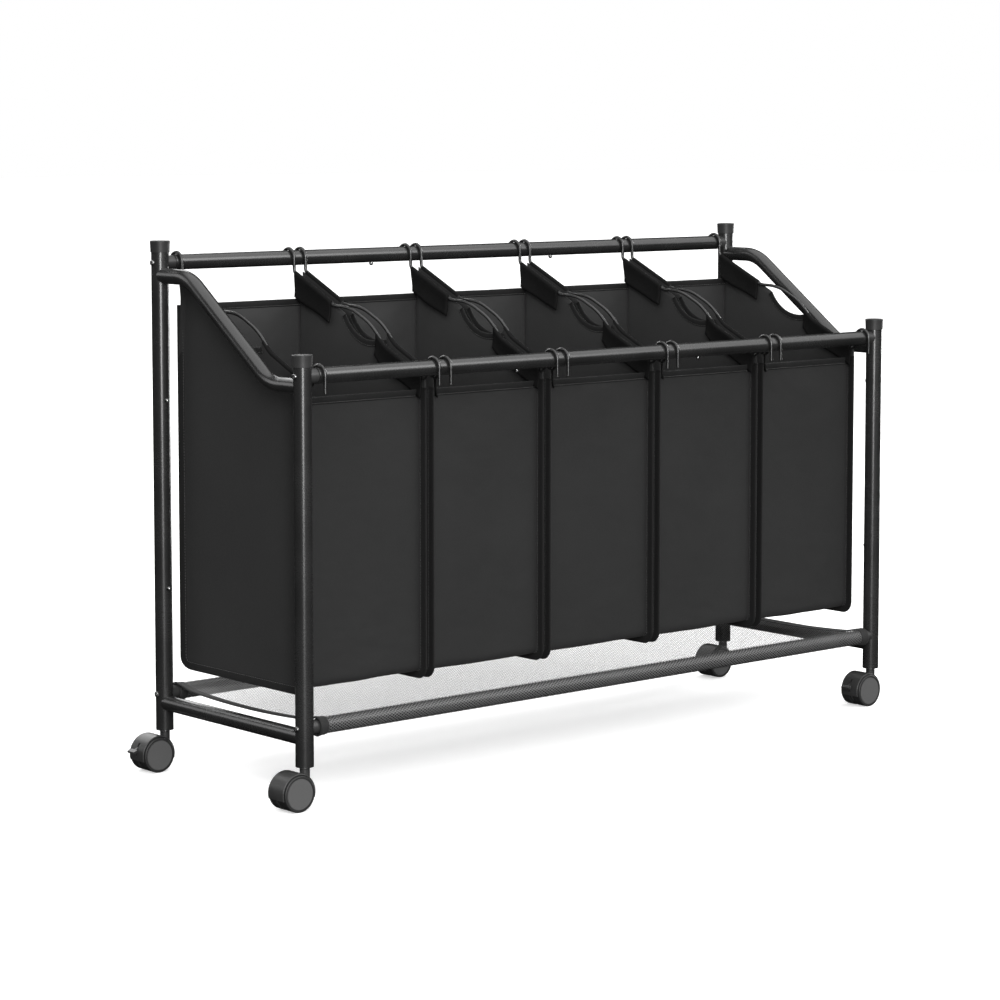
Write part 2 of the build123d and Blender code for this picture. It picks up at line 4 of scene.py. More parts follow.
import bmesh
import bpy
import numpy as np
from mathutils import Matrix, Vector


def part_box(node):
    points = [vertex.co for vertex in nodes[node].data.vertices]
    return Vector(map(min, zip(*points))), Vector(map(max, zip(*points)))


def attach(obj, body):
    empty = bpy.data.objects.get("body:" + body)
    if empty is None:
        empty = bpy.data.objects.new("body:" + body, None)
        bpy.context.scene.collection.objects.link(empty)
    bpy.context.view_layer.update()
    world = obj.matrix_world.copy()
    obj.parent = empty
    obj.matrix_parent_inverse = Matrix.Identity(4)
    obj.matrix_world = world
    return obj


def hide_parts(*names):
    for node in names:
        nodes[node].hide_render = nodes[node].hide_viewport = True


# The laundry sorter's looks: materials for the frame, casters and wires, and the cloth bags and
# mesh shelf built as real sheets round the CAD parts. Metres throughout, in the CAD's frame.

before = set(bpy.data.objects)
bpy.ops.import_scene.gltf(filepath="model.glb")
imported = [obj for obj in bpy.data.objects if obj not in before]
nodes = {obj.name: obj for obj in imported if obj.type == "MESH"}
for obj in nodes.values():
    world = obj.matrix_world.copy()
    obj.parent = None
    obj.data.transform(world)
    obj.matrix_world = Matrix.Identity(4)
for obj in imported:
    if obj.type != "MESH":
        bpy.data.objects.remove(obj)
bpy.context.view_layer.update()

# ---- sizes shared with the CAD ----
BAGS = 5
HALF_X = 0.1027  # outer face of a side panel, from its bag's middle
CLOTH = 0.0015
WIRE_R = 0.0024
TOUCH = 0.0001  # between the wire and the cloth round it
WIRE_X = HALF_X - CLOTH - TOUCH - WIRE_R
HOOK_Y = 0.1513
WIRE_FRONT_Z = 0.562
WIRE_BACK_Z = 0.702
EDGE_FRONT_Y, EDGE_BACK_Y = -0.1450, 0.1534
PANEL_FRONT_Y, PANEL_BACK_Y = -0.1320, 0.1410
EDGE_BOTTOM_Z = 0.1445
FLOOR_Z = 0.1535
FRONT_TOP_Z = 0.550
BACK_TOP_Z = 0.664
CORNER_R = 0.018
CUT_Y, CUT_Z, CUT_R = -0.0248, 0.6799, 0.0675  # the hand hole's circle
FOLD_FRONT = (-0.1435, -0.0420)
FOLD_BACK = (0.0615, 0.1470)
FLAP_DEPTH = 0.0270
ARCH_FOOT = 0.0704  # along the wire from its middle: where the carrying arch begins to rise
ARCH_LEG = 0.0537  # and where its straight leg begins
ARCH_CORNER = 0.062  # where the leg's line would meet the wire's
ARCH_SLOPE = 15.0 / 34.0
ARCH_FOOT_R = 0.040
RAIL_R = 0.011
POST_Y = 0.165
SHELF_RAIL_Z = 0.109
SHELF_HALF_X = 0.543
SHELF_EDGE_Z = 0.1155
SHELF_SAG = 0.0065

MIDDLE_X = sum(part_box("mesh_shelf")[i][0] for i in (0, 1)) / 2
WIRE_SLOPE = (WIRE_BACK_Z - WIRE_FRONT_Z) / (2 * HOOK_Y)
COS = 1 / math.hypot(1, WIRE_SLOPE)


def clamp(share):
    return min(1.0, max(0.0, share))


def smooth_step(share):
    """Rises smoothly from 0 to 1, and stays level before and after."""
    share = clamp(share)
    return share * share * (3 - 2 * share)


# ---- node helpers ----
class Nodes:
    """A material's node tree, with short ways to add and link nodes."""

    def __init__(self, name):
        self.material = bpy.data.materials.new(name)
        self.material.use_nodes = True
        self.tree = self.material.node_tree
        self.shader = self.tree.nodes["Principled BSDF"]

    def add(self, kind, **values):
        node = self.tree.nodes.new(kind)
        for key, value in values.items():
            if hasattr(node, key):
                setattr(node, key, value)
            else:
                node.inputs[key.replace("_", " ")].default_value = value
        return node

    def link(self, source, target):
        self.tree.links.new(source, target)

    def math(self, operation, a, b=None):
        node = self.add("ShaderNodeMath", operation=operation)
        for socket, value in zip(node.inputs, (a, b)):
            if value is None:
                continue
            if isinstance(value, (int, float)):
                socket.default_value = value
            else:
                self.link(value, socket)
        return node.outputs[0]

    def coordinate(self):
        return self.add("ShaderNodeTexCoord").outputs["Object"]

    def noise(self, scale, detail, roughness=0.5):
        node = self.add("ShaderNodeTexNoise", Scale=scale, Detail=detail, Roughness=roughness)
        self.link(self.coordinate(), node.inputs["Vector"])
        return node.outputs["Fac"]

    def spread(self, value, low, high, start=0.0, end=1.0):
        """Maps value from start..end to low..high."""
        node = self.add("ShaderNodeMapRange")
        self.link(value, node.inputs["Value"])
        for key, number in (("From Min", start), ("From Max", end), ("To Min", low), ("To Max", high)):
            node.inputs[key].default_value = number
        return node.outputs["Result"]

    def mix(self, factor, dark, light):
        """The colour between dark and light, by factor."""
        node = self.add("ShaderNodeMix", data_type="RGBA")
        self.link(factor, node.inputs["Factor"])
        for socket, colour in ((node.inputs[6], dark), (node.inputs[7], light)):
            if isinstance(colour, (tuple, list)):
                socket.default_value = (*colour, 1.0)
            else:
                self.link(colour, socket)
        return node.outputs[2]

    def bump(self, height, distance, strength=1.0, base=None):
        node = self.add("ShaderNodeBump", Strength=strength, Distance=distance)
        self.link(height, node.inputs["Height"])
        if base is not None:
            self.link(base, node.inputs["Normal"])
        return node.outputs["Normal"]

    def finish(self, colour, roughness=None, normal=None, **fixed):
        """Puts colour, roughness, normal and fixed values on the shader. Returns the material."""
        for key, value in fixed.items():
            self.shader.inputs[key.replace("_", " ")].default_value = value
        for key, source in (("Base Color", colour), ("Roughness", roughness), ("Normal", normal)):
            if isinstance(source, (tuple, list)):
                self.shader.inputs[key].default_value = (*source, 1.0)
            elif isinstance(source, (int, float)):
                self.shader.inputs[key].default_value = source
            elif source is not None:
                self.link(source, self.shader.inputs[key])
        return self.material


def grey(value):
    return (value, value, value)


# ---- materials: each is a grey between two tones, with its own grain, roughness and bump ----
NOISE_MIDDLE = (0.3, 0.7)  # where nearly all of a noise texture's values lie
THREAD_PITCH = 0.00085
TAPE_PITCH = 0.00060
HEM_PITCH = 0.0007
TONE_DRIFT = 0.12
WHEEL_DISC_R = 0.0212


def painted_steel():
    n = Nodes("black_powder_coat")
    fine = n.noise(1400, 3)
    broad = n.noise(14, 3)
    colour = n.mix(n.spread(broad, 0, 1, 0.35, 0.65), grey(0.014), grey(0.019))
    drift = n.spread(broad, -0.015, 0.015, *NOISE_MIDDLE)
    rough = n.math("ADD", n.spread(fine, 0.25, 0.28, *NOISE_MIDDLE), drift)
    return n.finish(colour, rough, n.bump(fine, 0.00004, 0.07), Specular_IOR_Level=0.95)


def coated_wire():
    n = Nodes("black_wire_coat")
    fine = n.noise(900, 2)
    colour = n.mix(n.spread(fine, 0, 1, *NOISE_MIDDLE), grey(0.007), grey(0.010))
    rough = n.spread(fine, 0.24, 0.34, *NOISE_MIDDLE)
    return n.finish(colour, rough, n.bump(fine, 0.00003, 0.3), Specular_IOR_Level=0.95)


def woven(name, dark, light, thread, depth, rough, sheen=0.04, gloss=0.35):
    """Plain-woven cloth, between two greys. Its UVs are in metres, so a thread is as big on every panel."""
    n = Nodes(name)
    uv = n.add("ShaderNodeUVMap", uv_map="cloth").outputs["UV"]
    split = n.add("ShaderNodeSeparateXYZ")
    n.link(uv, split.inputs[0])
    waves = [
        n.math("SINE", n.math("MULTIPLY", split.outputs[axis], math.pi / thread)) for axis in ("X", "Y")
    ]
    weave = n.math("MULTIPLY", *waves)
    lift = n.math("ABSOLUTE", weave)
    slub = n.noise(420, 3)
    broad = n.noise(5.5, 3, roughness=0.6)
    threads = n.math("MULTIPLY", n.spread(weave, 0, 1, -1, 1), 0.45)
    tone = n.math("ADD", threads, n.math("MULTIPLY", slub, 0.55))
    colour = n.mix(n.spread(tone, 0, 1, 0.2, 0.8), grey(dark), grey(light))
    shade = n.spread(broad, 1 - TONE_DRIFT, 1 + TONE_DRIFT, *NOISE_MIDDLE)
    scale = n.add("ShaderNodeVectorMath", operation="SCALE")
    n.link(colour, scale.inputs[0])
    n.link(shade, scale.inputs["Scale"])
    creases = n.bump(n.noise(26, 3, roughness=0.55), 0.0012, 0.25)
    normal = n.bump(lift, depth, 0.6, creases)
    return n.finish(
        scale.outputs[0], n.spread(slub, rough - 0.06, rough + 0.06, *NOISE_MIDDLE), normal,
        Sheen_Weight=sheen, Sheen_Roughness=0.5, Specular_IOR_Level=gloss,
    )


def moulded(name, dark, light, middle):
    """Satin plastic between two greys, of roughness about middle."""
    n = Nodes(name)
    fine = n.noise(1100, 3)
    broad = n.noise(30, 2)
    colour = n.mix(n.spread(broad, 0, 1, 0.35, 0.65), grey(dark), grey(light))
    rough = n.spread(fine, middle - 0.06, middle + 0.08, *NOISE_MIDDLE)
    return n.finish(colour, rough, n.bump(fine, 0.00006, 0.5))


def wheel_plastic(name, axle_x, axle_z):
    """A wheel's cover disc is a lighter satin plastic than its tread."""
    n = Nodes(name)
    split = n.add("ShaderNodeSeparateXYZ")
    n.link(n.coordinate(), split.inputs[0])
    across = n.math("SUBTRACT", split.outputs["X"], axle_x)
    up = n.math("SUBTRACT", split.outputs["Z"], axle_z)
    squared = n.math("ADD", n.math("MULTIPLY", across, across), n.math("MULTIPLY", up, up))
    radius = n.math("SQRT", squared)
    tread = n.spread(radius, 0, 1, WHEEL_DISC_R - 0.0002, WHEEL_DISC_R + 0.0002)
    fine = n.noise(1000, 3)
    colour = n.mix(tread, n.mix(fine, grey(0.078), grey(0.100)), n.mix(fine, grey(0.014), grey(0.022)))
    rough = n.math("ADD", n.spread(tread, 0.34, 0.50), n.spread(fine, -0.04, 0.05, *NOISE_MIDDLE))
    return n.finish(colour, rough, n.bump(fine, 0.00005, 0.5))


def bright_steel(name, dark, light):
    n = Nodes(name)
    fine = n.noise(700, 3)
    colour = n.mix(n.spread(fine, 0, 1, *NOISE_MIDDLE), grey(dark), grey(light))
    rough = n.spread(fine, 0.18, 0.34, *NOISE_MIDDLE)
    return n.finish(colour, rough, n.bump(fine, 0.00003, 0.4), Metallic=1.0)


def pvc_mesh():
    n = Nodes("black_pvc_mesh")
    fine = n.noise(800, 2)
    colour = n.mix(n.spread(fine, 0, 1, *NOISE_MIDDLE), grey(0.085), grey(0.120))
    return n.finish(colour, n.spread(fine, 0.36, 0.50, *NOISE_MIDDLE), n.bump(fine, 0.00004, 0.4))


def stitch_thread():
    n = Nodes("stitching_thread")
    fine = n.noise(2500, 2)
    colour = n.mix(fine, grey(0.020), grey(0.060))
    return n.finish(colour, n.spread(fine, 0.55, 0.75), n.bump(fine, 0.00008, 0.6), Sheen_Weight=0.4)


PAINT = painted_steel()
WIRE = coated_wire()
PANEL = woven("bag_cloth", 0.0098, 0.0170, THREAD_PITCH, 0.00012, 0.80)
# the lining: the bag cloth in a lighter grey, which is painted light falling into the bag, and a little
# less rough
PAINTED_LIGHT_LINING = woven("bag_lining_painted_light", 0.0210, 0.0330, THREAD_PITCH, 0.00009, 0.66)
BINDING = woven("bag_binding", 0.0042, 0.0082, TAPE_PITCH, 0.00014, 0.72, gloss=0.26)
# the sleeve: the bag cloth in a darker grey with weaker gloss, which is painted shade on the fold over the
# wire and the flap inside the bag
PAINTED_SHADE_SLEEVE = woven("bag_sleeve_painted_shade", 0.0026, 0.0052, THREAD_PITCH, 0.00012, 0.74, sheen=0.0, gloss=0.13)
SHELF_HEM = woven("shelf_hem_cloth", 0.012, 0.021, HEM_PITCH, 0.00014, 0.75, sheen=0.05)
THREAD = stitch_thread()
MESH = pvc_mesh()
STEEL = bright_steel("zinc_steel", 0.34, 0.48)
STEM_STEEL = bright_steel("polished_steel", 0.80, 0.92)
CAPS = moulded("black_cap_plastic", 0.020, 0.028, 0.44)
HOODS = moulded("black_caster_plastic", 0.024, 0.034, 0.38)

CAD_MATERIALS = (
    (("post_caps",), CAPS),
    (("rail_end_plugs", "caster_socket", "caster_hood", "brake_pedal"), HOODS),
    (("frame_bolts", "snap_buttons"), STEEL),
    (("caster_stems", "caster_axle"), STEM_STEEL),
    (("bag_wires",), WIRE),
    (("post_", "side_rail", "front_rail", "back_rail", "lower_rail"), PAINT),
)


def dress(node, material):
    """Gives a CAD node one material in all its slots."""
    if not node.material_slots:
        node.data.materials.append(material)
    for slot in node.material_slots:
        slot.material = material


def wheel_material(node_name):
    """A caster's two wheels share one material, centred on their axle."""
    caster = node_name.rsplit("_", 1)[0]
    title = f"{caster}_plastic"
    low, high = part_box(node_name)
    ready = bpy.data.materials.get(title)
    return ready or wheel_plastic(title, (low[0] + high[0]) / 2, (low[2] + high[2]) / 2)


for name, node in nodes.items():
    if name.startswith("wheel_"):
        dress(node, wheel_material(name))
    for starts, material in CAD_MATERIALS:
        if name.startswith(starts):
            dress(node, material)
            break


# ---- mesh helpers ----
def new_object(name, points, faces, material, uvs=None):
    """A mesh object. uvs holds one pair for each point, in metres of cloth."""
    mesh = bpy.data.meshes.new(name)
    mesh.from_pydata([tuple(p) for p in points], [], faces)
    mesh.validate()
    if uvs is not None:
        layer = mesh.uv_layers.new(name="cloth")
        corners = np.empty(len(mesh.loops), dtype=np.int32)
        mesh.loops.foreach_get("vertex_index", corners)
        layer.data.foreach_set("uv", np.asarray(uvs, dtype=np.float32)[corners].ravel())
    mesh.polygons.foreach_set("use_smooth", [True] * len(mesh.polygons))
    obj = bpy.data.objects.new(name, mesh)
    bpy.context.scene.collection.objects.link(obj)
    mesh.materials.append(material)
    return obj


def apply_modifiers(obj):
    """Turns obj's modifiers into its mesh."""
    graph = bpy.context.evaluated_depsgraph_get()
    done = bpy.data.meshes.new_from_object(obj.evaluated_get(graph), depsgraph=graph)
    obj.modifiers.clear()
    obj.data = done


def thicken(obj, thickness):
    """Gives a sheet its thickness, half to each side, and applies it."""
    solid = obj.modifiers.new("thickness", "SOLIDIFY")
    solid.thickness = thickness
    solid.offset = 0.0
    solid.use_even_offset = True
    apply_modifiers(obj)


def grid_faces(columns, rows):
    """Quads of a grid whose points run row by row within each column."""
    corners = [c * rows + r for c in range(columns - 1) for r in range(rows - 1)]
    return [(a, a + rows, a + rows + 1, a + 1) for a in corners]


def tube_faces(rings, sides):
    """Quads round a tube whose points run ring by ring, and a face on each of its ends."""
    faces = []
    for i in range(rings - 1):
        for k in range(sides):
            after = (k + 1) % sides
            faces.append((i * sides + k, (i + 1) * sides + k, (i + 1) * sides + after, i * sides + after))
    last = (rings - 1) * sides
    return faces + [tuple(range(sides)), tuple(last + k for k in range(sides))[::-1]]


def lengths_along(points):
    """Distance along a line of points, starting at 0."""
    steps = np.linalg.norm(np.diff(np.asarray(points, dtype=float), axis=0), axis=1)
    return np.concatenate([[0.0], np.cumsum(steps)])


def resample(points, spacing):
    """The same line with points about spacing apart."""
    points = np.asarray(points, dtype=float)
    run = lengths_along(points)
    count = max(2, int(round(run[-1] / spacing)) + 1)
    wanted = np.linspace(0, run[-1], count)
    return np.stack([np.interp(wanted, run, points[:, i]) for i in range(points.shape[1])], axis=1)


def join(name, pieces):
    """Joins objects into the first one, keeping their materials."""
    with bpy.context.temp_override(
        active_object=pieces[0], selected_editable_objects=pieces, selected_objects=pieces
    ):
        bpy.ops.object.join()
    pieces[0].name = name
    return pieces[0]


# ---- the wire's line ----
def chord_z(y):
    """Height of the wire's straight line at y."""
    return (WIRE_FRONT_Z + WIRE_BACK_Z) / 2 + y * WIRE_SLOPE


def wire_z(y):
    """Height of the wire's middle at y, with the foot of its carrying arch."""
    s = abs(y) / COS
    if s >= ARCH_FOOT:
        rise = 0.0
    elif s > ARCH_LEG:
        rise = (ARCH_FOOT - s) ** 2 / (2 * ARCH_FOOT_R)
    else:
        rise = (ARCH_CORNER - s) * ARCH_SLOPE
    return chord_z(y) + rise / COS


# ---- side panels: one sheet a side, folded in over the wire and down again as a flap ----
def panel_bottom(y):
    """Lower outline of a side panel, with its rounded corners."""
    past = max(EDGE_FRONT_Y + CORNER_R - y, y - EDGE_BACK_Y + CORNER_R)
    if past <= 0:
        return EDGE_BOTTOM_Z
    return EDGE_BOTTOM_Z + CORNER_R - math.sqrt(max(0.0, CORNER_R**2 - past**2))


def hand_hole(y):
    """Upper edge of the cloth at y where the hand hole cuts it, or None."""
    past = CUT_R**2 - (y - CUT_Y) ** 2
    if past <= 0:
        return None
    z = CUT_Z - math.sqrt(past)
    return z if z < chord_z(y) else None


TIP_Z = WIRE_BACK_Z - 0.006  # the sleeve's back tip
DRAW_IN = 0.0075
DRAW_FROM_Y = 0.105
DRAW_FADE = 0.10
SPLAY = 0.0036
SPLAY_TOP_Z = WIRE_BACK_Z - 0.012
SPLAY_RUN = 0.03


def draw_in(y, z):
    """How far forward the back edge is drawn in, from the sleeve's tip down to the back panel's hem."""
    down = smooth_step((TIP_Z - z) / (TIP_Z - BACK_TOP_Z))
    below = clamp((BACK_TOP_Z - z) / DRAW_FADE)
    near = clamp((y - DRAW_FROM_Y) / (EDGE_BACK_Y - DRAW_FROM_Y))
    return -DRAW_IN * down * (1 - below) * near**3


def splay(y, z):
    """The bound back edge leans outwards a little below the sleeve."""
    near = clamp((y - PANEL_BACK_Y) / (EDGE_BACK_Y - PANEL_BACK_Y))
    return SPLAY * near * smooth_step((SPLAY_TOP_Z - z) / SPLAY_RUN)


FINE_GAP = 0.0022
WIDE_GAP = 0.006
HOLE_FRONT_Y, HOLE_BACK_Y = -0.0440, 0.0370


def side_columns():
    """Stations from front to back, closer together at the rounded corners and the hand hole."""
    stretches = [
        (EDGE_FRONT_Y, FINE_GAP), (EDGE_FRONT_Y + CORNER_R, WIDE_GAP), (HOLE_FRONT_Y, 0.002),
        (FOLD_FRONT[1], 0.0034), (HOLE_BACK_Y, 0.004), (FOLD_BACK[0], WIDE_GAP),
        (EDGE_BACK_Y - CORNER_R, FINE_GAP), (FOLD_BACK[1], FINE_GAP), (EDGE_BACK_Y, 0.0),
    ]
    stations = []
    for (start, gap), (end, _) in zip(stretches, stretches[1:]):
        count = max(1, int(round((end - start) / gap)))
        stations += [start + (end - start) * i / count for i in range(count)]
    return stations + [EDGE_BACK_Y]


WAVE_FADE_SIDE, WAVE_FADE_BOTTOM, WAVE_FADE_TOP = 0.045, 0.06, 0.05
SWELL, SWELL_HEIGHT = 0.0016, 0.47
RIPPLE = 0.0007
# each wave's share, its turns along z and y in radians a metre, and how far the seed shifts it
RIPPLE_WAVES = ((1.0, 9.0, 21.0, 1.0), (0.6, 23.0, -13.0, 2.3), (0.4, 11.0, 41.0, 3.1))


def waviness(seed, y, z):
    """A stiff panel's slight unevenness, in metres, fading at its bound edges."""
    side = clamp(min(y - EDGE_FRONT_Y, EDGE_BACK_Y - y) / WAVE_FADE_SIDE)
    bottom = clamp((z - EDGE_BOTTOM_Z) / WAVE_FADE_BOTTOM)
    top = clamp((chord_z(y) - z) / WAVE_FADE_TOP)
    swell = 0.5 - 0.5 * math.cos(2 * math.pi * min(1.0, (z - EDGE_BOTTOM_Z) / SWELL_HEIGHT))
    ripple = sum(
        share * math.sin(up * z + along * y + shift * seed) for share, up, along, shift in RIPPLE_WAVES
    )
    return side * bottom * top * (SWELL * swell + RIPPLE * ripple)


PANEL_ROWS = 56
FOLD_ROWS = 8
FLAP_ROWS = 7
FOLD_R = WIRE_R + TOUCH + CLOTH / 2  # of the cloth's middle surface round the wire
FLAP_GROWTH = 0.07  # how much deeper the back flap gets, for each metre behind its front end
FLAP_HEM_WAVE, FLAP_HEM_TURNS = 0.0006, 95
FLAP_LEAN_WAVE, FLAP_LEAN_TURNS = 0.0012, 60
FLAP_SWING = 0.0022
FLAP_BELLY = 0.0008


def panel_top(y):
    """Where the flat of a side panel ends at y: at the hand hole, or at the wire."""
    cut = hand_hole(y)
    if cut is not None:
        return cut
    return chord_z(y) if FOLD_FRONT[1] < y < FOLD_BACK[0] else wire_z(y)


def side_panel(name, middle_x, sign, seed):
    """The side panel, with its fold over the wire and the flap inside the bag."""
    stations = side_columns()
    points, uvs, faces = [], [], []
    rows = PANEL_ROWS + FOLD_ROWS + FLAP_ROWS

    def put(x_out, y, z, u, v):
        points.append((middle_x + sign * x_out, y, z))
        uvs.append((u, v))

    for y in stations:
        top = panel_top(y)
        bottom = panel_bottom(y)
        for r in range(PANEL_ROWS):
            share = r / (PANEL_ROWS - 1)
            z = bottom + (top - bottom) * share
            put(WIRE_X + FOLD_R + waviness(seed, y, z) + splay(y, z), y + draw_in(y, z), z, y, z)
        centre = wire_z(y)
        y_fold = y + draw_in(y, centre)
        for r in range(1, FOLD_ROWS + 1):
            turn = math.pi * r / FOLD_ROWS
            x_out = WIRE_X + FOLD_R * math.cos(turn)
            put(x_out, y_fold, centre + FOLD_R / COS * math.sin(turn), y, top + FOLD_R * turn)
        lean = FLAP_LEAN_WAVE * math.sin(FLAP_LEAN_TURNS * y + 2 * seed)
        deeper = FLAP_GROWTH * abs(y - FOLD_BACK[0]) if y > 0 else 0.0
        depth = FLAP_DEPTH + deeper + FLAP_HEM_WAVE * math.sin(FLAP_HEM_TURNS * y + seed)
        for r in range(1, FLAP_ROWS + 1):
            share = r / FLAP_ROWS
            swing = FLAP_SWING * share * share + lean * share - FLAP_BELLY * math.sin(math.pi * share)
            z = centre - depth * share
            put(WIRE_X - FOLD_R - swing, y + draw_in(y, z), z, y, top + FOLD_R * math.pi + depth * share)
    for c in range(len(stations) - 1):
        y_mid = (stations[c] + stations[c + 1]) / 2
        folded = any(start < y_mid < end for start, end in (FOLD_FRONT, FOLD_BACK))
        used = rows if folded else PANEL_ROWS
        for r in range(used - 1):
            a = c * rows + r
            quad = (a, a + rows, a + rows + 1, a + 1)
            faces.append(quad if sign > 0 else quad[::-1])
    panel = new_object(name, points, faces, PANEL, uvs)
    panel.data.materials.append(PAINTED_SHADE_SLEEVE)
    for face, shape in zip(faces, panel.data.polygons):
        # the fold and flap faces take the darker sleeve cloth: painted shade
        shape.material_index = int(max(corner % rows for corner in face) >= PANEL_ROWS)
    drop_loose(panel)
    thicken(panel, CLOTH)
    line_inside_painted_light(panel, middle_x, WIRE_X)
    return panel


def line_inside_painted_light(obj, middle_x, beyond=0.0):
    """Gives cloth faces that look into the bag, beyond a distance from its middle, the lining: the bag
    cloth in a lighter grey, which is painted light falling into the bag.
    """
    obj.data.materials.append(PAINTED_LIGHT_LINING)
    painted_light_slot = len(obj.data.materials) - 1
    middle = Vector((middle_x, (PANEL_FRONT_Y + PANEL_BACK_Y) / 2, (FLOOR_Z + FRONT_TOP_Z) / 2))
    for face in obj.data.polygons:
        inward = middle - face.center
        if abs(inward.x) >= beyond and face.normal.dot(inward) > 0:
            # inside faces get the lighter grey: painted light
            face.material_index = painted_light_slot


def drop_loose(obj):
    """Deletes points that no face uses."""
    shape = bmesh.new()
    shape.from_mesh(obj.data)
    loose = [v for v in shape.verts if not v.link_faces]
    bmesh.ops.delete(shape, geom=loose, context="VERTS")
    shape.to_mesh(obj.data)
    shape.free()


# ---- binding tape and stitches along an edge ----
def inward_normals(line):
    """Unit normals to the left of a line of (y, z) points."""
    run = np.gradient(np.asarray(line, dtype=float), axis=0)
    run /= np.linalg.norm(run, axis=1, keepdims=True)
    return np.stack([-run[:, 1], run[:, 0]], axis=1)


TAPE_ROUND = 0.0006  # over which a tape's inner edge comes down to the cloth
# round the cloth's edge: how far in from it, and how much of the tape's half thickness out
TAPE_FOLD = ((0.0012, 1.0), (-0.0002, 0.75), (-0.0007, 0.0), (-0.0002, -0.75), (0.0012, -1.0))
BACK_FACE_UV = 0.02  # keeps the threads of a tape's two faces apart


def binding(name, x_middle, sign, line, width, thickness):
    """A tape folded round an edge: line is the edge, as (y, z) points, and cloth lies to its left."""
    line = np.asarray(line, dtype=float)
    normals = inward_normals(line)
    half = thickness / 2
    # across the tape: from one face's inner edge, over the edge, to the other face's inner edge
    fold = [(inset, half * share) for inset, share in TAPE_FOLD]
    section = [(width, CLOTH / 2), (width - TAPE_ROUND, half), *fold]
    section += [(width - TAPE_ROUND, -half), (width, -CLOTH / 2)]
    run = lengths_along(line)
    points, uvs = [], []
    rows = len(section)
    for i, (spot, normal) in enumerate(zip(line, normals)):
        for inset, out in section:
            y, z = spot + normal * inset
            points.append((x_middle + out + sign * splay(y, z), y, z))
            uvs.append((run[i], inset + (BACK_FACE_UV if out < 0 else 0.0)))
    faces = grid_faces(len(line), rows)
    faces += [tuple(range(rows))[::-1], tuple((len(line) - 1) * rows + r for r in range(rows))]
    return new_object(name, points, faces, BINDING, uvs)


STITCH_SPACING = 0.0042
STITCH_LENGTH = 0.0030
STITCH_R = 0.00028
STITCH_RINGS = 5
STITCH_SIDES = 6
STITCH_REACH = 0.0005  # how far to each side a stitch looks for its line's direction
LINE_STEP = 0.004


def stitch_mesh():
    """One stitch: a short thread that dives at both ends. Along +X, standing out to +Z."""
    points = []
    for i in range(STITCH_RINGS):
        share = i / (STITCH_RINGS - 1)
        x = (share - 0.5) * STITCH_LENGTH
        rise = STITCH_R * (0.9 * math.sin(math.pi * share) - 0.2)
        radius = STITCH_R * (0.55 + 0.45 * math.sin(math.pi * share))
        for k in range(STITCH_SIDES):
            turn = 2 * math.pi * k / STITCH_SIDES
            points.append((x, radius * math.cos(turn), rise + radius * math.sin(turn)))
    return np.array(points), tube_faces(STITCH_RINGS, STITCH_SIDES)


STITCH_POINTS, STITCH_FACES = stitch_mesh()


def value_at(place, run, values):
    """A vector part-way along a line, between the values at its points."""
    return np.array([np.interp(place, run, values[:, k]) for k in range(3)])


def stitches(name, lines):
    """Stitches along lines of (points, outward normals), as one object."""
    points, faces = [], []
    for spots, normals in lines:
        run = lengths_along(spots)
        count = int(run[-1] / STITCH_SPACING)
        for i in range(count):
            middle = (i + 0.5) * run[-1] / count
            before = value_at(middle - STITCH_REACH, run, spots)
            after = value_at(middle + STITCH_REACH, run, spots)
            spot = (before + after) / 2
            ahead = after - before
            ahead /= np.linalg.norm(ahead)
            out = value_at(middle, run, normals)
            out -= ahead * out.dot(ahead)
            out /= np.linalg.norm(out)
            side = np.cross(out, ahead)
            base = len(points)
            for p in STITCH_POINTS:
                points.append(spot + p[0] * ahead + p[1] * side + p[2] * out)
            faces += [tuple(base + k for k in face) for face in STITCH_FACES]
    return new_object(name, points, faces, THREAD)


def flat_line(x, sign, line, out_sign):
    """A stitch line on a face of a side panel: its points, and their outward normals."""
    line = resample(line, LINE_STEP)
    shifts = np.array([sign * splay(y, z) for y, z in line])
    spots = np.column_stack([x + shifts, line])
    normals = np.tile([float(out_sign), 0.0, 0.0], (len(line), 1))
    return spots, normals


# ---- the panel's edges as lines, with the cloth on their left ----
def arc(centre, radius, start_deg, end_deg, step_deg=6):
    """Points round part of a circle, about step_deg apart."""
    count = max(2, int(abs(end_deg - start_deg) / step_deg) + 1)
    turns = np.radians(np.linspace(start_deg, end_deg, count))
    return [(centre[0] + radius * math.cos(t), centre[1] + radius * math.sin(t)) for t in turns]


FLANGE_FRONT_TOP = 0.5535
FLANGE_BACK_TOP = BACK_TOP_Z - 0.001
HOLE_START_DEG, HOLE_END_DEG = 254, 331  # the part of the hand hole's circle that cuts the cloth


def outline(inset=0.0):
    """The bound edge of a side panel: down the front, round the bottom and up the back."""
    r = CORNER_R
    z = EDGE_BOTTOM_Z + r
    line = [(EDGE_FRONT_Y + inset, FLANGE_FRONT_TOP)]
    line += arc((EDGE_FRONT_Y + r, z), r - inset, 180, 270)
    line += arc((EDGE_BACK_Y - r, z), r - inset, 270, 360)
    line += [(EDGE_BACK_Y - inset, FLANGE_BACK_TOP)]
    return line


def hole_line(extra=0.0):
    """The hand hole's lower edge, front to back."""
    return arc((CUT_Y, CUT_Z), CUT_R + extra, HOLE_START_DEG, HOLE_END_DEG, 3)


# ---- the strip: front panel, floor and back panel, hung by cloth simulation ----
STRIP_COLUMNS = 27
STRIP_STEP = 0.0085
STRIP_GAP = 0.0002  # between the strip's edges and the side panels
FLOOR_CORNER_R = 0.007
HEM_HEIGHT = 0.0098
